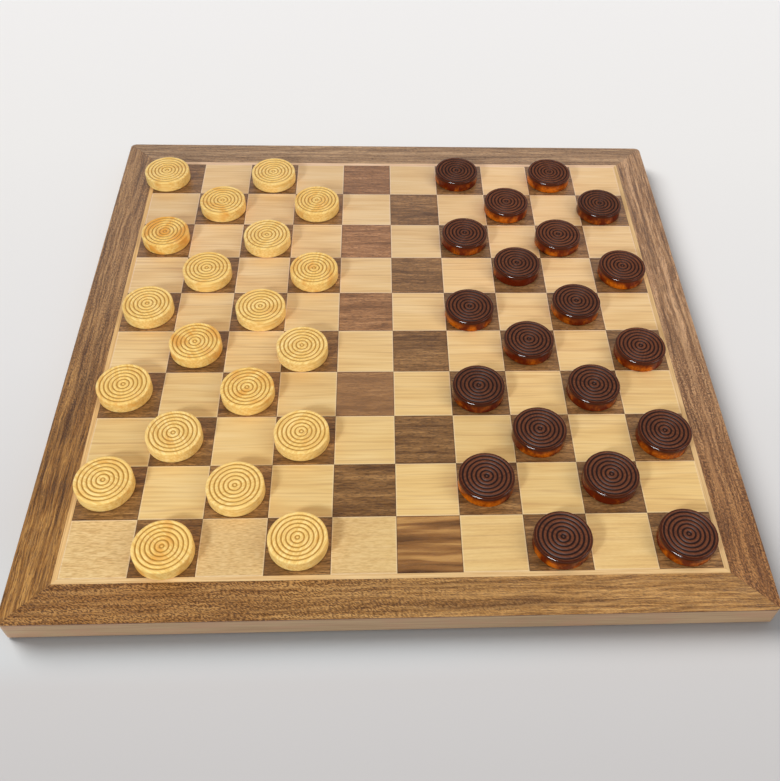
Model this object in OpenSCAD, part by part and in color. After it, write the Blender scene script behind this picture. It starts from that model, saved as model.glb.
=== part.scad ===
// Ten-by-ten draughts board of veneered panel, set out for play with two sides of turned men.
// Sizes are in millimetres. The origin is the middle of the underside and +Z is up.
// The field's light men start at its left, -X, and the dark men at its right, +X.
// The photograph was taken from the front, -Y.

/* [Field] */
// Squares along each side of the field
squares = 10; // [6:2:10]
// Width of one square
square_w = 35; // [32:0.5:60]
// Width of the glue line between two squares
glue_line = 0.05; // [0.02:0.01:0.2]

/* [Frame round the field] */
// Width of the pale stringing that lines the field
stringing_w = 2.8; // [1:0.1:8]
// Width of the walnut border outside the stringing
border_w = 22.2; // [12:0.1:60]

/* [Panel] */
// Thickness of the core panel and of the lippings round it
core_t = 15; // [6:0.5:24]
// Thickness of the veneers on the face
face_veneer_t = 0.6; // [0.4:0.1:3]
// Thickness of the backing veneer on the underside
backing_t = 0.6; // [0.4:0.1:3]
// Width of the solid lippings, from the core out
lipping_w = 6; // [4:0.5:11]
// Radius of the lower outer edge of the lippings
lower_edge_r = 2.5; // [0.5:0.25:3]
// Radius of the board's four upright corners
corner_r = 4; // [0.5:0.25:6]

/* [Men] */
// Diameter of a man
man_d = 32; // [24:0.5:34]
// Height of a man
man_h = 8.5; // [5:0.5:14]
// Radius turned on a man's lower edge
man_edge_r = 1.2; // [0.4:0.1:1.8]
// Radius of the ring beads turned in the top of a man, the outermost on its edge
bead_r = 1.15; // [0.9:0.05:1.2]
// Distance from one ring bead to the next
bead_pitch = 2.5; // [2.3:0.05:4]
// Depth of the grooves between the beads
groove_depth = 0.55; // [0.2:0.05:0.8]
// Radius of the pip in the middle
pip_r = 0.6; // [0.4:0.05:0.8]
// Height of the pip above the groove round it
pip_h = 0.3; // [0.1:0.05:0.4]

/* [Play] */
// One step by which a man stands off the middle of its square
stray_step = 0.5; // [0:0.1:0.5]

/* [Hidden] */
$fn = 96;

field_w = squares * square_w;
stringing_outer_w = field_w + 2 * stringing_w;
board_w = stringing_outer_w + 2 * border_w;
core_w = board_w - 2 * lipping_w;
core_z = backing_t;
face_z = core_z + core_t;
play_z = face_z + face_veneer_t;
man_r = man_d / 2;

// Radii at which the ring beads stand, from the edge in, as far as the pip leaves room
outer_bead_x = man_r - bead_r;
inner_bead_limit = bead_r + pip_r;
BEADS = [for (x = [outer_bead_x : -bead_pitch : inner_bead_limit]) x];

// Each side fills the dark squares of all rows but the two in the middle.
men_columns = squares / 2 - 1;
men_per_column = squares / 2;
men_per_side = men_columns * men_per_column;

// How each man stands off the middle of its square, in steps to the right and to the back.
// One row here is one column of the field, from the left, and runs from the front to the back.
LIGHT_STRAYS = [
    [[-6, 7], [-8, 4], [-1, 0], [1, 1], [-16, -1]],
    [[0, -7], [-9, 1], [-2, 3], [-3, -3], [3, 0]],
    [[-2, -2], [-1, -2], [4, -5], [2, -5], [1, -2]],
    [[0, 1], [-3, 1], [-9, -4], [0, -3], [-2, 1]]
];
DARK_STRAYS = [
    [[-3, 6], [-2, -1], [-4, -6], [-1, 0], [-4, 3]],
    [[3, -3], [-5, 2], [-2, 5], [-3, 8], [-5, 0]],
    [[-1, 7], [0, 0], [-1, 4], [-8, -2], [-3, 1]],
    [[0, -2], [3, -2], [0, -7], [3, 2], [-7, -3]]
];

// Each side's name stands at its number of quarter turns from the front, seen from above.
SIDES = ["front", "right", "back", "left"];

function two_digits(n) = n < 10 ? str("0", n) : str(n);
function man_name(side, n) = str(side, "_man_", two_digits(n + 1));

// A square is walnut where its column and row numbers, from 0 at the front left, add up to odd.
function is_walnut(column, row) = (column + row) % 2 == 1;
function square_middle(n) = (n + 0.5) * square_w - field_w / 2;

// Column and row of the walnut square that holds man n of a side that starts at first_column
function man_column(first_column, n) = first_column + floor(n / men_per_column);
function man_row(first_column, n) =
    2 * (n % men_per_column) + (man_column(first_column, n) % 2 == 0 ? 1 : 0);

// A plate in plan, with the four upright corners rounded
module rounded_plan(width, radius) {
    union() {
        square([width - 2 * radius, width], center = true);
        square([width, width - 2 * radius], center = true);
        for (x = [-1, 1], y = [-1, 1])
            translate([x, y] * (width / 2 - radius)) circle(radius);
    }
}

// One mitred side of a square frame in plan, along the front
module mitred_plan(inner_w, outer_w) {
    polygon([
        [-outer_w, -outer_w] / 2,
        [outer_w, -outer_w] / 2,
        [inner_w, -inner_w] / 2,
        [-inner_w, -inner_w] / 2
    ]);
}

// Section of a lipping: x runs in from its outer face, y up from its lower face
module lipping_section() {
    union() {
        translate([lower_edge_r, 0]) square([lipping_w - lower_edge_r, core_t]);
        translate([0, lower_edge_r]) square([lipping_w, core_t - lower_edge_r]);
        translate([lower_edge_r, lower_edge_r]) circle(lower_edge_r);
    }
}

// Half the section of a man, from its axis out, with its ring beads and its pip
module man_section() {
    groove_z = man_h - groove_depth;
    union() {
        square([man_r - man_edge_r, man_edge_r]);
        translate([man_r - man_edge_r, man_edge_r]) circle(man_edge_r);
        translate([0, man_edge_r]) square([man_r, man_h - man_edge_r - bead_r]);
        square([outer_bead_x, groove_z]);
        for (x = BEADS)
            translate([x, man_h - bead_r]) circle(bead_r);
        intersection() {
            square([pip_r, man_h]);
            translate([0, groove_z + pip_h - pip_r]) circle(pip_r);
        }
    }
}

// The panel under everything, inside the lippings
module core_panel() {
    color("tan")
        translate([0, 0, core_z]) linear_extrude(core_t) square(core_w, center = true);
}

// The veneer on the underside, which the board rests on, ends where the lower edge starts to round
module backing_veneer() {
    color("saddlebrown")
        linear_extrude(backing_t) rounded_plan(board_w - 2 * lower_edge_r, corner_r);
}

// One solid lipping, a number of quarter turns from the front
module lipping(turns) {
    color("rosybrown") rotate([0, 0, 90 * turns]) translate([0, 0, core_z])
        intersection() {
            linear_extrude(core_t) mitred_plan(core_w, board_w);
            linear_extrude(core_t) rounded_plan(board_w, corner_r);
            translate([0, -board_w / 2, 0]) rotate([90, 0, 90])
                linear_extrude(board_w, center = true) lipping_section();
        }
}

// One mitred length of the walnut border
module border(turns) {
    color("sienna") rotate([0, 0, 90 * turns]) translate([0, 0, face_z])
        linear_extrude(face_veneer_t) intersection() {
            mitred_plan(stringing_outer_w, board_w);
            rounded_plan(board_w, corner_r);
        }
}

// One mitred length of the pale stringing
module stringing(turns) {
    color("burlywood") rotate([0, 0, 90 * turns]) translate([0, 0, face_z])
        linear_extrude(face_veneer_t) mitred_plan(field_w, stringing_outer_w);
}

// All the squares of one wood, each a tile of its own
module squares_of(walnut) {
    tile_w = square_w - glue_line;
    for (column = [0 : squares - 1], row = [0 : squares - 1])
        if (is_walnut(column, row) == walnut)
            translate([square_middle(column), square_middle(row), face_z])
                linear_extrude(face_veneer_t) square(tile_w, center = true);
}

module walnut_squares() color("sienna") squares_of(true);
module maple_squares() color("wheat") squares_of(false);

// Man n of a side, on its square, off the middle by its stray
module man(first_column, strays, n) {
    stray = strays[floor(n / men_per_column)][n % men_per_column] * stray_step;
    translate([
        square_middle(man_column(first_column, n)) + stray[0],
        square_middle(man_row(first_column, n)) + stray[1],
        play_z
    ])
        rotate_extrude() man_section();
}

module light_man(n) color("khaki") man(0, LIGHT_STRAYS, n);
module dark_man(n) color("maroon") man(squares - men_columns, DARK_STRAYS, n);

core_panel();
backing_veneer();
for (k = [0 : len(SIDES) - 1]) {
    lipping(k);
    border(k);
    stringing(k);
}
walnut_squares();
maple_squares();
for (n = [0 : men_per_side - 1]) {
    light_man(n);
    dark_man(n);
}
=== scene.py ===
import math
import random

import bpy
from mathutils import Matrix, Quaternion, Vector


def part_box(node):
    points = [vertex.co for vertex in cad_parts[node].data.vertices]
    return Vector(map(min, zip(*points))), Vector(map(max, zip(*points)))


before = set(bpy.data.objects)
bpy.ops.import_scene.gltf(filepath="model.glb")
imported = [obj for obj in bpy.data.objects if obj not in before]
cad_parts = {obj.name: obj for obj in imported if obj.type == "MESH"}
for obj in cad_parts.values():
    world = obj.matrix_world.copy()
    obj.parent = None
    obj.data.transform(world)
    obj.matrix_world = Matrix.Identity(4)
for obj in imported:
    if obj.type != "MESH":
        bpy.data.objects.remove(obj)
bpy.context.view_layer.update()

# Sizes read from the frame, in metres
MM = 0.001
SIDES = ("front", "right", "back", "left")
FIELD_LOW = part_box("stringing_left")[1].x
FIELD_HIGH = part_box("stringing_right")[0].x
SQUARES = 10
SQUARE = (FIELD_HIGH - FIELD_LOW) / SQUARES
PLAY_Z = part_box("walnut_squares")[1].z
MAN_LOW, MAN_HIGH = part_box("light_man_01")
LIGHT_MEN = sorted(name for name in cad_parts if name.startswith("light_man"))
DARK_MEN = sorted(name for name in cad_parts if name.startswith("dark_man"))

# Sizes of a man in millimetres, with the ring beads turned in its top
MAN_RADIUS = (MAN_HIGH.x - MAN_LOW.x) / 2 / MM
MAN_HEIGHT = (MAN_HIGH.z - MAN_LOW.z) / MM
BEAD_RADIUS = 1.15
BEAD_PITCH = 2.5

# The camera, as the photograph was taken
CAMERA_PLACE = (-0.0085, -0.4015, PLAY_Z + 0.4247)
CAMERA_AIM = (0.0216, -0.0509, PLAY_Z)
CAMERA_ROLL = math.radians(-3.41)
FOCAL_PX = 897.9
PRINCIPAL_X_PX = 429.06
PRINCIPAL_Y_PX = 391.0
IMAGE_W_PX = 780
IMAGE_H_PX = 781
SENSOR_MM = 36.0
CLIP_START = 0.01


def srgb(red, green, blue):
    """A colour given as it shows on a screen, from 0 to 255, as Blender's linear colour."""
    def linear(value):
        value /= 255
        return value / 12.92 if value <= 0.04045 else ((value + 0.055) / 1.055) ** 2.4
    return (linear(red), linear(green), linear(blue), 1.0)


def shades(*colours):
    """Several colours, each given as srgb takes it."""
    return [srgb(*colour) for colour in colours]


# The sockets of a Mix node that mixes colours
MIX_FACTOR = 0
MIX_BELOW = 6
MIX_ABOVE = 7
MIX_RESULT = 2


class Nodes:
    """A node tree. Its methods add nodes to it, and most return the new node's output."""

    def __init__(self, tree):
        self.tree = tree

    def add(self, kind, *values, **settings):
        """A new node, whose first sockets take the values."""
        node = self.tree.nodes.new("ShaderNode" + kind)
        for key, value in settings.items():
            setattr(node, key, value)
        for socket, value in zip(node.inputs, values):
            self.feed(socket, value)
        return node

    def feed(self, socket, value):
        """Joins the socket to another node's output, or sets it to a plain value."""
        if isinstance(value, bpy.types.NodeSocket):
            self.tree.links.new(value, socket)
        else:
            socket.default_value = value

    def math(self, operation, *values):
        return self.add("Math", *values, operation=operation).outputs[0]

    def chain(self, operation, first, *others):
        for other in others:
            first = self.math(operation, first, other)
        return first

    def times(self, *values):
        return self.chain("MULTIPLY", *values)

    def total(self, *values):
        return self.chain("ADD", *values)

    def least(self, *values):
        return self.chain("MINIMUM", *values)

    def most(self, *values):
        return self.chain("MAXIMUM", *values)

    def minus(self, value, other):
        return self.math("SUBTRACT", value, other)

    def off_middle(self, value):
        """How far the value is from 0.5."""
        return self.math("ABSOLUTE", self.minus(value, 0.5))

    def equals(self, value, number):
        """1 where a value that is always whole is that number, and 0 elsewhere."""
        return self.math("COMPARE", value, number, 0.1)

    def slope(self, value, low, high, start=0.0, end=1.0):
        """start up to low, end from high on, and an even change between them."""
        return self.add("MapRange", value, low, high, start, end).outputs[0]

    def step(self, value, low, high, start=0.0, end=1.0):
        """start up to low, end from high on, and a smooth change between them."""
        node = self.add("MapRange", value, low, high, start, end, interpolation_type="SMOOTHSTEP")
        return node.outputs[0]

    def combine(self, x=0.0, y=0.0, z=0.0):
        return self.add("CombineXYZ", x, y, z).outputs[0]

    def split(self, vector):
        """The vector's x, y and z."""
        return self.add("SeparateXYZ", vector).outputs

    def vector(self, operation, *values):
        return self.add("VectorMath", *values, operation=operation).outputs[0]

    def plus(self, vector, other):
        return self.vector("ADD", vector, other)

    def scaled(self, vector, x, y, z):
        return self.vector("MULTIPLY", vector, (x, y, z))


class Paint(Nodes):
    """One procedural material. It measures in millimetres from centre, which is given in metres."""

    def __init__(self, name, centre=(0, 0, 0), turn=0.0):
        self.material = bpy.data.materials.new(name)
        self.material.use_nodes = True
        super().__init__(self.material.node_tree)
        self.shader = self.tree.nodes["Principled BSDF"]
        moved = self.vector("SUBTRACT", self.add("TexCoord").outputs["Object"], centre)
        in_mm = self.scaled(moved, 1 / MM, 1 / MM, 1 / MM)
        turned = self.add("VectorRotate", in_mm, rotation_type="Z_AXIS")
        turned.inputs["Angle"].default_value = turn
        self.place = turned.outputs[0]

    def noise(self, vector, length, width, depth=None, detail=2.0, roughness=0.5):
        """Noise with features length long in x and width in y, and depth, or else width, in z."""
        depth = width if depth is None else depth
        node = self.add("TexNoise")
        self.feed(node.inputs["Vector"], self.scaled(vector, 1 / length, 1 / width, 1 / depth))
        for key, value in (("Scale", 1.0), ("Detail", detail), ("Roughness", roughness)):
            self.feed(node.inputs[key], value)
        return node.outputs[0]

    def ramp(self, value, *stops):
        """The colour at the value's place between stops, each a (position, colour)."""
        node = self.add("ValToRGB", value)
        elements = node.color_ramp.elements
        while len(elements) < len(stops):
            elements.new(0.5)
        for element, (position, colour) in zip(elements, stops):
            element.position = position
            element.color = colour
        return node.outputs[0]

    def mix(self, factor, below, above, blend="MIX"):
        """The two colours mixed, or blended in another way, with all of above where factor is 1."""
        node = self.add("Mix", data_type="RGBA", blend_type=blend)
        self.feed(node.inputs[MIX_FACTOR], factor)
        self.feed(node.inputs[MIX_BELOW], below)
        self.feed(node.inputs[MIX_ABOVE], above)
        return node.outputs[MIX_RESULT]

    def filtered(self, colour, factors, amount=1.0):
        """The colour times the factors for red, green and blue, to the full where amount is 1."""
        return self.mix(amount, colour, (*factors, 1.0), "MULTIPLY")

    def tone(self, colour, low, high, value):
        """The colour times a level that goes from low to high as value goes from 0 to 1."""
        level = self.step(value, 0.0, 1.0, low, high)
        return self.mix(1.0, colour, self.combine(level, level, level), "MULTIPLY")

    def tint(self, colour, place, start, low, end, high):
        """The colour times the factors low up to start, and times the factors high from end on."""
        factors = self.mix(self.step(place, start, end), (*low, 1.0), (*high, 1.0))
        return self.mix(1.0, colour, factors, "MULTIPLY")

    def surface(self, colour, roughness, height=None, depth=0.0, specular=0.5):
        """The finished material. depth is how deep its bump goes, in millimetres."""
        self.feed(self.shader.inputs["Base Color"], colour)
        self.feed(self.shader.inputs["Roughness"], roughness)
        self.shader.inputs["Specular IOR Level"].default_value = specular
        if height is not None:
            bump = self.add("Bump")
            bump.inputs["Strength"].default_value = 1.0
            bump.inputs["Distance"].default_value = depth * MM
            self.feed(bump.inputs["Height"], height)
            self.feed(self.shader.inputs["Normal"], bump.outputs["Normal"])
        return self.material


def dress(name, material):
    """Gives a CAD node its finished material."""
    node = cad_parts[name]
    node.data.materials.clear()
    node.data.materials.append(material)


# How far apart the places lie in the wood that two squares may be cut from, in millimetres
TILE_SPREAD = 400.0


class Tiles:
    """What a paint knows of the square that a point of the field lies in."""

    def __init__(self, paint):
        corner = Vector((FIELD_LOW, FIELD_LOW, 0)) / MM
        from_corner = paint.vector("SUBTRACT", paint.place, corner)
        squares = paint.scaled(from_corner, MM / SQUARE, MM / SQUARE, 0.0)
        cell = paint.vector("FLOOR", squares)
        luck = paint.add("TexWhiteNoise", cell, noise_dimensions="3D")
        x, y, _ = paint.split(paint.vector("FRACTION", squares))
        near_x = paint.least(x, paint.minus(1.0, x))
        near_y = paint.least(y, paint.minus(1.0, y))
        self.paint = paint
        self.column, self.row, _ = paint.split(cell)
        self.luck = luck.outputs["Value"]
        jump = paint.scaled(luck.outputs["Color"], TILE_SPREAD, TILE_SPREAD, TILE_SPREAD)
        self.grain = paint.plus(paint.place, jump)
        self.edge = paint.times(paint.least(near_x, near_y), SQUARE / MM)

    def rim(self, start, end):
        """1 on the square's edge up to start millimetres in, and 0 from end on."""
        return self.paint.step(self.edge, start, end, 1.0, 0.0)

    def is_at(self, column, row):
        return self.paint.times(self.paint.equals(self.column, column), self.paint.equals(self.row, row))


def wavy(paint, grain, *bends):
    """The place with its grain lines, which run along x, bent to and fro across.

    Each bend is the length and the width of its waves and how far they reach, in millimetres.
    """
    for length, width, reach in bends:
        bend = paint.minus(paint.noise(grain, length, width, detail=1.0), 0.5)
        grain = paint.plus(grain, paint.combine(y=paint.times(bend, 4 * reach)))
    return grain


def growth_lines(paint, grain, spacing, thickness, drift):
    """Growth lines along x at an uneven spacing: 1 in a line and 0 between."""
    _, y, _ = paint.split(grain)
    wander = paint.times(paint.noise(grain, 120, 2.2 * spacing), 4 * drift)
    phase = paint.math("FRACT", paint.math("DIVIDE", paint.total(y, wander), spacing))
    line = paint.step(paint.off_middle(phase), 0.0, thickness / spacing, 1.0, 0.0)
    strength = paint.step(paint.noise(grain, 50, spacing), 0.35, 0.65)
    return paint.times(line, strength)


PORE_COLOUR = srgb(60, 34, 14)


def walnut(paint, grain, colours, streak_length=22, streak_width=1.0,
           pore_share=0.5, pore_length=3.2, spread=0.11):
    """(colour, height) of walnut whose grain runs along x. A small spread gives strong contrast."""
    bent = wavy(paint, grain, (60, 18, 1.2), (12, 5, 0.3))
    bands = paint.noise(bent, 5 * streak_length, 5.5, detail=1.0)
    streaks = paint.noise(bent, streak_length, 1.7 * streak_width, roughness=0.6)
    threads = paint.noise(bent, 0.4 * streak_length, 0.9 * streak_width, roughness=0.6)
    parts = (paint.times(bands, 0.34), paint.times(streaks, 0.32), paint.times(threads, 0.34))
    figure = paint.total(*parts)
    dark, middle, light = colours
    wood = paint.ramp(figure, (0.5 - spread, dark), (0.5, middle), (0.5 + spread, light))
    lines = growth_lines(paint, bent, spacing=6.5, thickness=0.8, drift=2.2)
    wood = paint.mix(paint.times(lines, 0.55), wood, dark)
    dashes = paint.noise(bent, pore_length, 0.5, detail=1.0)
    pores = paint.step(dashes, 0.72 - 0.25 * pore_share, 0.80 - 0.2 * pore_share)
    wood = paint.mix(paint.times(pores, 0.5), wood, PORE_COLOUR)
    return wood, paint.minus(paint.times(figure, 0.6), pores)


# Squares that differ from the rest, by column and row, from 0 at the front left
PINKISH_COLUMN = 4
CALM_SQUARE = (4, 3)
BOLD_SQUARE = (5, 0)
CURLY_ROW = 0

# The depths, in millimetres, between which the field's tint turns bluer to the back: painted sheen
SHEEN_TINT_FRONT = -140.0
SHEEN_TINT_BACK = 120.0


def walnut_squares():
    paint = Paint("walnut_squares")
    tiles = Tiles(paint)
    colours = shades((92, 58, 26), (142, 100, 57), (188, 141, 90))
    wood, height = walnut(paint, tiles.grain, colours, pore_share=0.9, pore_length=2.4, spread=0.14)
    wood = paint.tone(wood, 0.92, 1.12, tiles.luck)
    pinkish = paint.times(paint.equals(tiles.column, PINKISH_COLUMN), paint.step(tiles.row, 1.0, 6.0))
    wood = paint.mix(paint.times(pinkish, 0.15), wood, srgb(146, 102, 62))
    wood = paint.filtered(wood, (1.24, 1.18, 1.36), pinkish)
    wood = paint.mix(paint.times(tiles.is_at(*CALM_SQUARE), 0.5), wood, srgb(152, 110, 74))
    wood = paint.mix(paint.times(tiles.is_at(*BOLD_SQUARE), 0.75), wood, bold_walnut(paint, tiles.grain))
    wood = paint.mix(paint.times(tiles.rim(0.15, 0.6), 0.55), wood, srgb(72, 44, 22))
    # Warmer at the front and bluer at the back: a painted sheen of pale light in the lacquer
    _, y, _ = paint.split(paint.place)
    wood = paint.tint(wood, y, SHEEN_TINT_FRONT, (1.0, 0.96, 0.80), SHEEN_TINT_BACK, (1.0, 0.99, 1.02))
    dress("walnut_squares", paint.surface(wood, 0.34, height, depth=0.05, specular=0.6))


def bold_walnut(paint, grain):
    """The colour of walnut in broad light and dark bands."""
    bent = wavy(paint, grain, (45, 12, 1.4), (14, 5, 0.5))
    bands = paint.noise(bent, 110, 6.0, roughness=0.55)
    dark, middle, light = shades((80, 46, 18), (148, 98, 50), (208, 156, 94))
    return paint.ramp(bands, (0.38, dark), (0.5, middle), (0.6, light))


def curly_maple(paint, grain):
    """The colour of maple with a fine curl."""
    curl = paint.noise(wavy(paint, grain, (7, 3, 0.2)), 3.4, 0.5, detail=1.0, roughness=0.6)
    dark, middle, light = shades((196, 150, 92), (222, 180, 118), (236, 200, 142))
    return paint.ramp(curl, (0.34, dark), (0.48, middle), (0.64, light))


def maple_squares():
    paint = Paint("maple_squares")
    tiles = Tiles(paint)
    bent = wavy(paint, tiles.grain, (60, 20, 1.0))
    clouds = paint.noise(bent, 60, 9.0, detail=1.0)
    streaks = paint.noise(bent, 36, 0.9, roughness=0.6)
    figure = paint.total(paint.times(clouds, 0.5), paint.times(streaks, 0.5))
    dark, middle, light = shades((222, 178, 109), (232, 192, 122), (238, 202, 136))
    wood = paint.ramp(figure, (0.36, dark), (0.5, middle), (0.64, light))
    fine = growth_lines(paint, bent, spacing=2.9, thickness=0.8, drift=0.9)
    wide = growth_lines(paint, bent, spacing=7.5, thickness=1.1, drift=2.4)
    fine_share = paint.step(tiles.luck, 0.0, 1.0, 0.12, 0.5)
    x, y, _ = paint.split(paint.place)
    faint = paint.step(y, 60.0, 150.0, 1.0, 0.35)
    wood = paint.mix(paint.times(fine, fine_share, faint), wood, srgb(200, 152, 92))
    wood = paint.mix(paint.times(wide, faint, 0.45), wood, srgb(194, 144, 88))
    curly = paint.times(paint.equals(tiles.row, CURLY_ROW), paint.step(x, -60.0, 40.0, 1.0, 0.2))
    wood = paint.mix(paint.times(curly, 0.75), wood, curly_maple(paint, tiles.grain))
    wood = paint.tone(wood, 0.96, 1.04, tiles.luck)
    wood = paint.mix(paint.times(tiles.rim(0.3, 0.9), 0.4), wood, srgb(244, 216, 176))
    # Bluer at the back: a painted sheen of pale light in the lacquer
    wood = paint.tint(wood, y, SHEEN_TINT_FRONT, (1.0, 1.0, 1.0), SHEEN_TINT_BACK, (1.0, 1.0, 1.27))
    # Paler maple right of the middle and towards the back: painted light
    right_of_middle = paint.times(paint.step(x, 0.0, 80.0), paint.step(x, 115.0, 155.0, 1.0, 0.2))
    painted_light = paint.times(right_of_middle, paint.step(y, -70.0, 0.0))
    wood = paint.filtered(wood, (1.10, 1.08, 1.08), painted_light)
    dress("maple_squares", paint.surface(wood, 0.32, streaks, depth=0.02, specular=0.6))


def strip_grain(paint, side):
    """The place turned so that x runs along a strip on that side of the frame."""
    if side in ("front", "back"):
        return paint.place
    x, y, z = paint.split(paint.place)
    return paint.combine(y, x, z)


# The dark, middle and light walnut of each side; the back's, paler and greyer, is partly a painted sheen
BORDER_WOODS = {
    "front": shades((92, 57, 25), (156, 113, 59), (202, 158, 98)),
    "right": shades((92, 60, 36), (158, 119, 78), (212, 174, 134)),
    "back": shades((108, 78, 48), (160, 124, 86), (202, 166, 126)),
    "left": shades((70, 42, 16), (148, 106, 58), (202, 160, 104)),
}
# The length and width of each side's streaks, in millimetres
BORDER_STREAKS = {"front": (40, 1.0), "right": (34, 1.1), "back": (46, 0.7), "left": (34, 0.8)}
# The dark, middle and light burr of each side
BURR_WOODS = {
    "front": shades((138, 98, 50), (162, 118, 64), (196, 154, 96)),
    "right": shades((124, 86, 52), (158, 118, 78), (206, 168, 124)),
    "back": shades((130, 98, 66), (160, 126, 90), (188, 154, 116)),
    "left": shades((112, 76, 42), (150, 112, 68), (190, 150, 100)),
}
# The length of the short dark ticks in each side's burr, in millimetres
BURR_TICKS = {"front": 1.6, "right": 1.4, "back": 2.0, "left": 1.6}
# How much of its burr each side shows: two places along it in millimetres, the share up to the first
# and the share from the second on
BURR_SHARES = {
    "front": (-60.0, 90.0, 0.95, 0.3),
    "right": (-60.0, 20.0, 0.85, 0.25),
    "back": (-100.0, 100.0, 0.3, 0.3),
    "left": (-120.0, -20.0, 0.2, 0.6),
}
# The tint of each side: a place along it in millimetres and the factors up to there, then another place
# and the factors from there on
BORDER_TINTS = {
    "front": (-150.0, (0.90, 0.74, 0.58), 20.0, (1.12, 1.01, 0.86)),
    "right": (-180.0, (0.80, 0.56, 0.31), 10.0, (1.05, 0.95, 0.89)),
    "back": (-150.0, (1.08, 1.03, 1.0), 150.0, (1.06, 1.00, 0.98)),
    "left": (-100.0, (0.97, 0.79, 0.50), 80.0, (1.07, 0.98, 0.98)),
}
TICK_COLOUR = srgb(70, 40, 16)
VENEER_EDGE_COLOUR = srgb(96, 58, 40)
# How far each side's wood lies from the last one's, and from the middle line, in millimetres
BORDER_JUMP = 100.0
BORDER_OFFSET = 37.0


def burr(paint, curls, colours, tick_length):
    """(colour, ticks) of burr whose threads run along x of curls. It is dark where ticks is high."""
    dark, middle, light = colours
    threads = paint.noise(curls, 34, 1.3)
    wood = paint.ramp(threads, (0.40, dark), (0.50, middle), (0.62, light))
    x, y, z = paint.split(curls)
    slanted = paint.combine(x, paint.total(y, paint.times(x, 0.35)), z)
    ticks = paint.noise(slanted, tick_length, 0.6, detail=1.0)
    wood = paint.mix(paint.step(ticks, 0.47, 0.57, 0.0, 0.8), wood, TICK_COLOUR)
    wood = paint.mix(paint.step(ticks, 0.34, 0.44, 0.6, 0.0), wood, light)
    return wood, ticks


def border(side):
    paint = Paint("border_" + side)
    along = strip_grain(paint, side)
    x, _, _ = paint.split(along)
    grain = paint.plus(along, (BORDER_JUMP * SIDES.index(side), BORDER_OFFSET, 0.0))
    wood, height = walnut(paint, grain, BORDER_WOODS[side], *BORDER_STREAKS[side],
                          pore_share=0.8, pore_length=3.6, spread=0.085)
    curls = wavy(paint, grain, (30, 12, 1.0), (3.4, 2.2, 0.4))
    figured, ticks = burr(paint, curls, BURR_WOODS[side], BURR_TICKS[side])
    burr_share = paint.step(x, *BURR_SHARES[side])
    wood = paint.mix(burr_share, wood, figured)
    height = paint.minus(height, paint.times(ticks, burr_share))
    rays = growth_lines(paint, curls, spacing=6.0, thickness=1.2, drift=2.0)
    _, _, light = BURR_WOODS[side]
    wood = paint.mix(paint.times(rays, 0.5), wood, light)
    wood = paint.tint(wood, x, *BORDER_TINTS[side])
    _, _, up = paint.split(paint.add("NewGeometry").outputs["Normal"])
    wood = paint.mix(paint.step(up, 0.3, 0.7), VENEER_EDGE_COLOUR, wood)
    dress("border_" + side, paint.surface(wood, 0.36, height, depth=0.07, specular=0.6))


# The dark and the light of each side's stringing
STRINGING_WOODS = {
    "front": shades((214, 168, 108), (236, 198, 140)),
    "right": shades((204, 162, 104), (230, 190, 134)),
    "back": shades((224, 182, 142), (248, 208, 172)),
    "left": shades((210, 160, 96), (238, 192, 128)),
}


def stringing(side):
    paint = Paint("stringing_" + side)
    lines = paint.noise(strip_grain(paint, side), 30, 0.8, detail=3.0, roughness=0.6)
    dark, light = STRINGING_WOODS[side]
    wood = paint.ramp(lines, (0.36, dark), (0.64, light))
    dress("stringing_" + side, paint.surface(wood, 0.4, lines, depth=0.02))


def lipping(side):
    paint = Paint("lipping_" + side)
    x, y, z = paint.split(strip_grain(paint, side))
    grain = paint.combine(x, z, y)
    streaks = paint.noise(grain, 45, 1.1, detail=3.0, roughness=0.55)
    patches = paint.noise(grain, 24, 6.0)
    wood = paint.ramp(streaks, (0.34, srgb(164, 128, 92)), (0.66, srgb(184, 150, 110)))
    wood = paint.mix(paint.step(patches, 0.42, 0.62, 0.0, 0.5), wood, srgb(180, 134, 100))
    wood = paint.tint(wood, x, 60.0, (1.0, 1.0, 1.0), 190.0, (1.16, 1.15, 1.16))
    dress("lipping_" + side, paint.surface(wood, 0.5, streaks, depth=0.02))


def core_panel():
    paint = Paint("core_panel")
    fibres = paint.noise(paint.place, 0.7, 0.7, detail=4.0, roughness=0.7)
    wood = paint.ramp(fibres, (0.3, srgb(168, 132, 92)), (0.7, srgb(196, 160, 118)))
    dress("core_panel", paint.surface(wood, 0.8, fibres, depth=0.05))


def backing_veneer():
    paint = Paint("backing_veneer")
    colours = shades((92, 62, 40), (130, 93, 63), (160, 120, 84))
    wood, height = walnut(paint, paint.place, colours, pore_length=6.0)
    dress("backing_veneer", paint.surface(wood, 0.45, height, depth=0.04))


# How far apart the places lie in the wood that two men may be turned from, in millimetres each way
MAN_SPREAD = 300
# Radii and heights between which a man's finish changes, in millimetres: at the outer edge of its rings,
# at the edge of its top, at its polished rim, at the lower limit of the dark stain, and where the amber
# fades, which is in part a painted reflection of the board in the side's gloss
RINGS_END = (MAN_RADIUS - 1.5, MAN_RADIUS - 1.3)
TOP_EDGE = (MAN_HEIGHT - 1.2, MAN_HEIGHT - 0.6)
RIM = (MAN_RADIUS - 1.5, MAN_RADIUS - 0.9)
STAIN_EDGE = (MAN_HEIGHT - 2.3, MAN_HEIGHT - 1.3)
AMBER_REFLECTION_FADE = (3.4, 7.0)


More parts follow.
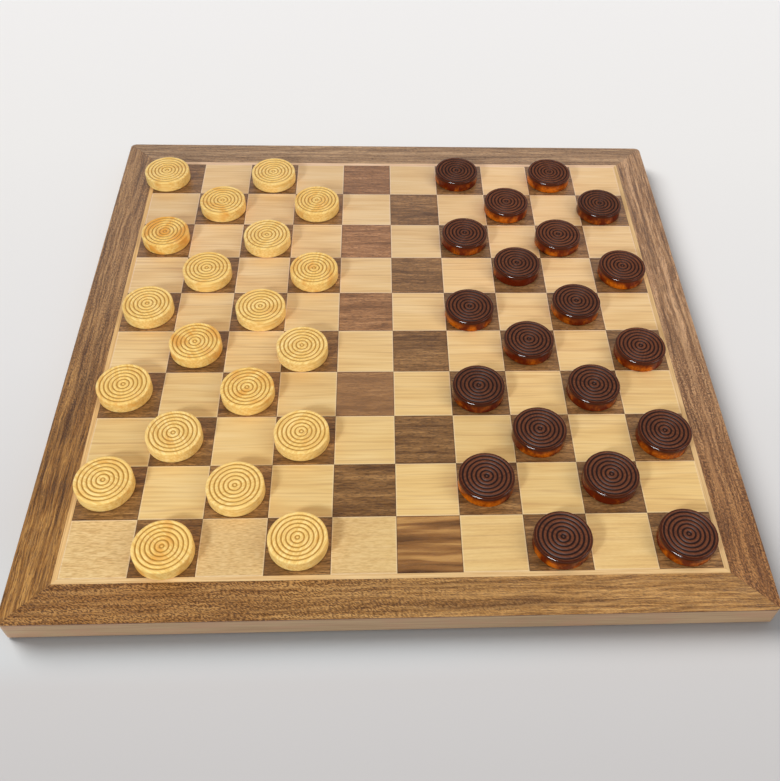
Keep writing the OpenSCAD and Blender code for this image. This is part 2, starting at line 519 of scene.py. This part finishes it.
class Turned:
    """A man's paint, and what it knows of the place of a point on the man, in millimetres."""

    def __init__(self, name, luck):
        low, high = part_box(name)
        centre = ((low.x + high.x) / 2, (low.y + high.y) / 2, low.z)
        paint = Paint(name, centre, luck.uniform(0, 2 * math.pi))
        jump = (luck.uniform(-MAN_SPREAD, MAN_SPREAD), luck.uniform(-MAN_SPREAD, MAN_SPREAD), 0.0)
        flat = paint.scaled(paint.place, 1.0, 1.0, 0.0)
        radius = paint.add("VectorMath", flat, operation="LENGTH").outputs["Value"]
        _, _, z = paint.split(paint.place)
        inward = paint.minus(MAN_RADIUS - BEAD_RADIUS, radius)
        ring = paint.math("FRACT", paint.total(paint.math("DIVIDE", inward, BEAD_PITCH), 0.5))
        inside = paint.step(radius, *RINGS_END, 1.0, 0.0)
        self.paint = paint
        self.grain = paint.plus(paint.place, jump)
        self.radius = radius
        self.z = z
        # 0 on the crest of a bead and 0.5 at the bottom of a groove
        self.groove = paint.times(paint.off_middle(ring), inside)
        # 1 on the top and 0 on the side
        self.top = paint.step(z, *TOP_EDGE)


# How golden each light man is, from 0, pale, to 1, by column from the left and front to back
LIGHT_WARMTHS = (
    0.4, 0.5, 0.3, 1.0, 0.3,
    0.7, 0.1, 0.8, 0.4, 0.6,
    0.2, 0.7, 0.3, 0.1, 0.2,
    0.3, 0.3, 0.0, 0.6, 0.5,
)
# Factors for red, green and blue: what a fully golden man has, and what all light men have on top
GOLDEN_FACTORS = (1.0, 0.955, 0.80)
LIGHT_FACTORS = (1.03, 1.025, 1.0)


def light_man(name, warmth, luck):
    man = Turned(name, luck)
    paint = man.paint
    lines = paint.noise(man.grain, 24, 1.3, detail=3.0, roughness=0.6)
    patches = paint.noise(man.grain, 13, 8)
    dark, middle, light = shades((234, 188, 104), (246, 205, 122), (252, 218, 144))
    wood = paint.ramp(lines, (0.36, dark), (0.5, middle), (0.64, light))
    golden = paint.step(patches, 0.62 - 0.2 * warmth, 0.82 - 0.2 * warmth, 0.0, 0.35 + 0.5 * warmth)
    wood = paint.mix(golden, wood, srgb(228, 158, 62))
    factors = [
        light_factor * (1 - warmth + warmth * golden_factor)
        for light_factor, golden_factor in zip(LIGHT_FACTORS, GOLDEN_FACTORS)
    ]
    wood = paint.filtered(wood, factors)
    # Browner in the grooves: finish gathered there, and painted shade
    groove_finish_and_shade = paint.step(man.groove, 0.24, 0.46)
    wood = paint.mix(paint.times(groove_finish_and_shade, man.top, 0.9), wood, srgb(176, 122, 36))
    dress(name, paint.surface(wood, 0.36, lines, depth=0.02))


# How much amber shows through the stain on each dark man's side, in the same order
DARK_AMBERS = (
    1.0, 0.5, 0.8, 0.6, 0.5,
    0.6, 0.6, 0.3, 0.2, 0.9,
    0.15, 0.4, 0.6, 0.6, 1.0,
    0.6, 0.5, 0.4, 0.6, 0.4,
)
# The lowest and the highest level of brightness that a dark man may have, where 1 is the middle
STAIN_LOW = 0.82
STAIN_HIGH = 1.18
DARK_TOP_ROUGHNESS = 0.62
DARK_SIDE_ROUGHNESS = 0.12


def dark_man(name, amber, luck):
    man = Turned(name, luck)
    paint = man.paint
    lines = paint.noise(man.grain, 24, 1.2, detail=3.0, roughness=0.6)
    patches = paint.noise(man.grain, 9, 9, 12, detail=3.0, roughness=0.6)
    rim = paint.step(man.radius, *RIM)
    upper = paint.ramp(lines, (0.34, srgb(84, 40, 19)), (0.66, srgb(112, 60, 31)))
    # Near black in the grooves: stain gathered there, and painted shade
    upper = paint.mix(paint.step(man.groove, 0.17, 0.40, 0.0, 0.96), upper, srgb(30, 6, 2))
    upper = paint.mix(paint.times(rim, 0.8), upper, srgb(58, 20, 8))
    # Amber low on the side, fading upward: a painted reflection of the board, over the amber under the
    # stain
    painted_reflection = paint.step(man.z, *AMBER_REFLECTION_FADE, 1.0, 0.2)
    shown = paint.times(paint.step(patches, 0.58 - 0.3 * amber, 0.84 - 0.3 * amber), painted_reflection)
    side = paint.mix(shown, srgb(92, 24, 3), srgb(198, 100, 12))
    side = paint.mix(paint.step(lines, 0.4, 0.65, 0.0, 0.4), side, srgb(106, 34, 4))
    wood = paint.mix(paint.step(man.z, *STAIN_EDGE), side, upper)
    stain = luck.uniform(STAIN_LOW, STAIN_HIGH)
    wood = paint.filtered(wood, (stain, stain, stain))
    roughness = paint.slope(rim, 0.0, 1.0, DARK_TOP_ROUGHNESS, DARK_SIDE_ROUGHNESS)
    dress(name, paint.surface(wood, roughness, lines, depth=0.02, specular=0.15))


def camera():
    data = bpy.data.cameras.new("camera")
    data.sensor_width = SENSOR_MM
    data.lens = SENSOR_MM * FOCAL_PX / IMAGE_H_PX
    data.shift_x = -(PRINCIPAL_X_PX - IMAGE_W_PX / 2) / IMAGE_H_PX
    data.shift_y = (PRINCIPAL_Y_PX - IMAGE_H_PX / 2) / IMAGE_H_PX
    data.clip_start = CLIP_START
    shot = bpy.data.objects.new("camera", data)
    bpy.context.collection.objects.link(shot)
    sight = Vector(CAMERA_AIM) - Vector(CAMERA_PLACE)
    roll = Quaternion(sight.normalized(), CAMERA_ROLL)
    shot.location = CAMERA_PLACE
    shot.rotation_mode = "QUATERNION"
    shot.rotation_quaternion = roll @ sight.to_track_quat("-Z", "Y")
    bpy.context.scene.camera = shot


def aimed(name, data, azimuth, elevation, distance):
    """A lamp that faces the board. Azimuth 0 is the front, and 90 the right."""
    lamp = bpy.data.objects.new(name, data)
    bpy.context.collection.objects.link(lamp)
    turn = math.radians(azimuth)
    rise = math.radians(elevation)
    away = Vector((math.sin(turn) * math.cos(rise), -math.cos(turn) * math.cos(rise), math.sin(rise)))
    lamp.location = away * distance
    lamp.rotation_mode = "QUATERNION"
    lamp.rotation_quaternion = away.to_track_quat("Z", "Y")
    return lamp


def softbox(name, azimuth, elevation, distance, width, share, colour, height=None):
    """A rectangular lamp, square unless it has a height.

    share is how much of its own colour a level surface in its diffuse light would show.
    """
    data = bpy.data.lights.new(name, "AREA")
    data.size = width
    if height is not None:
        data.shape = "RECTANGLE"
        data.size_y = height
    data.energy = share * (math.pi * distance) ** 2 / math.sin(math.radians(elevation))
    data.color = colour
    return aimed(name, data, azimuth, elevation, distance)


# How far off a skylight stands, in metres, which makes no difference to its light
SKYLIGHT_DISTANCE = 2.0


def skylight(name, azimuth, elevation, width, share, colour):
    """Even soft light from a round patch of sky, width degrees across."""
    data = bpy.data.lights.new(name, "SUN")
    data.color = colour
    data.angle = math.radians(width)
    data.energy = share * math.pi / math.sin(math.radians(elevation))
    return aimed(name, data, azimuth, elevation, SKYLIGHT_DISTANCE)


def link_light(lamp, things, state):
    """Makes a lamp light only those things (INCLUDE) or all but those things (EXCLUDE)."""
    receivers = bpy.data.collections.new(lamp.name + "_receivers")
    for thing in things:
        receivers.objects.link(thing)
    for receiver in receivers.collection_objects:
        receiver.light_linking.link_state = state
    lamp.light_linking.receiver_collection = receivers


def lights(ground):
    """The lamps over the board, and the one that lights the floor and casts the board's shadow on it."""
    key = softbox("key", azimuth=-39, elevation=30.5, distance=1.35, width=0.2,
                  share=0.28, colour=(0.87, 1.0, 1.2))
    fill = softbox("fill", azimuth=70, elevation=35, distance=1.2, width=0.45,
                   share=0.14, colour=(1.0, 1.0, 1.0))
    sky = softbox("sky", azimuth=115, elevation=68, distance=1.1, width=1.0,
                  share=0.26, colour=(1.19, 1.0, 0.74))
    for lamp in (key, sky):
        lamp.visible_glossy = False
    # The glint shows only in the gloss of the dark men
    glint = softbox("glint", azimuth=-28, elevation=28, distance=1.3, width=0.55, height=0.8,
                    share=2.1, colour=(0.95, 1.0, 1.05))
    glint.visible_diffuse = False
    link_light(glint, [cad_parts[man] for man in DARK_MEN], "INCLUDE")
    wash = skylight("wash", azimuth=236, elevation=43, width=36, share=0.62, colour=(1.025, 1.0, 0.975))
    link_light(wash, [ground], "INCLUDE")
    for lamp in (key, fill, sky):
        link_light(lamp, [ground], "EXCLUDE")


# What gloss sees: pale walls up to the lower elevation, a dark ceiling from the upper
WALL_TOP_LOW = 40.0
WALL_TOP_HIGH = 53.0
WALL_LEVEL = 1.0
CEILING_LEVEL = 0.04
WALL_COLOUR = (0.98, 0.99, 1.0, 1.0)
# What lights the board: a sky that grows brighter from the horizon to overhead, and the ground's light
# on the underside, which begins just below the horizon
GROUND_LEVEL = 0.4
GROUND_TOP = -0.05
HORIZON_LEVEL = 0.30
OVERHEAD_LEVEL = 0.42
SKY_COLOUR = (0.96, 1.0, 1.04, 1.0)


def studio():
    """The world: walls and a ceiling for gloss, white for the camera, and soft light for the rest."""
    world = bpy.data.worlds.new("world")
    world.use_nodes = True
    nodes = Nodes(world.node_tree)
    rays = nodes.add("LightPath").outputs
    _, _, height = nodes.split(nodes.add("TexCoord").outputs["Generated"])
    ceiling_edge = [math.sin(math.radians(elevation)) for elevation in (WALL_TOP_LOW, WALL_TOP_HIGH)]
    walls = nodes.step(height, *ceiling_edge, WALL_LEVEL, CEILING_LEVEL)
    shown = world.node_tree.nodes["Background"]
    nodes.feed(shown.inputs["Color"], WALL_COLOUR)
    nodes.feed(shown.inputs["Strength"], nodes.most(walls, rays["Is Camera Ray"]))
    sky = nodes.slope(height, 0.0, 1.0, HORIZON_LEVEL, OVERHEAD_LEVEL)
    ground = nodes.slope(height, GROUND_TOP, 0.0, GROUND_LEVEL - HORIZON_LEVEL, 0.0)
    soft = nodes.add("Background", SKY_COLOUR, nodes.total(sky, ground))
    seen = nodes.most(rays["Is Camera Ray"], rays["Is Glossy Ray"], rays["Is Transmission Ray"])
    mixed = nodes.add("MixShader", seen, soft.outputs[0], shown.outputs[0])
    nodes.feed(world.node_tree.nodes["World Output"].inputs["Surface"], mixed.outputs[0])
    bpy.context.scene.world = world
    bpy.context.scene.view_settings.view_transform = "Standard"


FLOOR_HALF = 8.0
# Just under the board, so that the two faces never coincide
FLOOR_Z = -0.0001
# The floor grows paler between these depths, in millimetres
FLOOR_NEAR = -280.0
FLOOR_FAR = 480.0
# The patch of floor before the board's left half that is a cooler, paler grey: painted light that lifts
# the board's shadow there and balances the warm light that the wood throws on it: the depths and the
# breadths between which it sets in and ends, in millimetres
COOL_FRONT = (-229.0, -206.0)
COOL_BACK = (-190.0, -120.0)
COOL_LEFT = (-240.0, -204.0)
COOL_RIGHT = (0.0, 150.0)
COOL_FACTORS = (1.04, 1.10, 1.13)


def floor():
    mesh = bpy.data.meshes.new("floor")
    signs = ((-1, -1), (1, -1), (1, 1), (-1, 1))
    corners = [(x * FLOOR_HALF, y * FLOOR_HALF, FLOOR_Z) for x, y in signs]
    mesh.from_pydata(corners, [], [(0, 1, 2, 3)])
    ground = bpy.data.objects.new("floor", mesh)
    bpy.context.collection.objects.link(ground)
    paint = Paint("floor")
    x, y, _ = paint.split(paint.place)
    depth = paint.slope(y, FLOOR_NEAR, FLOOR_FAR)
    greys = shades((203, 200, 199), (215, 213, 212), (229, 227, 226), (237, 235, 233), (241, 239, 238))
    grey = paint.ramp(depth, *zip((0.0, 0.16, 0.36, 0.66, 1.0), greys))
    # Painted light in the board's shadow before its left half: cooler and paler
    before = paint.times(paint.step(y, *COOL_FRONT), paint.step(y, *COOL_BACK, 1.0, 0.0))
    beside = paint.times(paint.step(x, *COOL_LEFT), paint.step(x, *COOL_RIGHT, 1.0, 0.1))
    grey = paint.filtered(grey, COOL_FACTORS, paint.times(before, beside))
    mesh.materials.append(paint.surface(grey, 0.9, specular=0.1))
    see_through_from_below(paint)
    return ground


def see_through_from_below(paint):
    """Makes the floor clear from below, and for the rays that bring light to the board's underside."""
    rays = paint.add("LightPath").outputs
    backfacing = paint.add("NewGeometry").outputs["Backfacing"]
    through = paint.most(backfacing, rays["Is Diffuse Ray"], rays["Is Shadow Ray"])
    clear = paint.add("BsdfTransparent")
    one_sided = paint.add("MixShader", through, paint.shader.outputs[0], clear.outputs[0])
    paint.feed(paint.tree.nodes["Material Output"].inputs["Surface"], one_sided.outputs[0])


# The seed for what differs by chance from one man to the next
RANDOM_SEED = 10

camera()
lights(floor())
studio()
walnut_squares()
maple_squares()
core_panel()
backing_veneer()
for side in SIDES:
    border(side)
    stringing(side)
    lipping(side)
luck = random.Random(RANDOM_SEED)
for man, warmth in zip(LIGHT_MEN, LIGHT_WARMTHS):
    light_man(man, warmth, luck)
for man, amber in zip(DARK_MEN, DARK_AMBERS):
    dark_man(man, amber, luck)
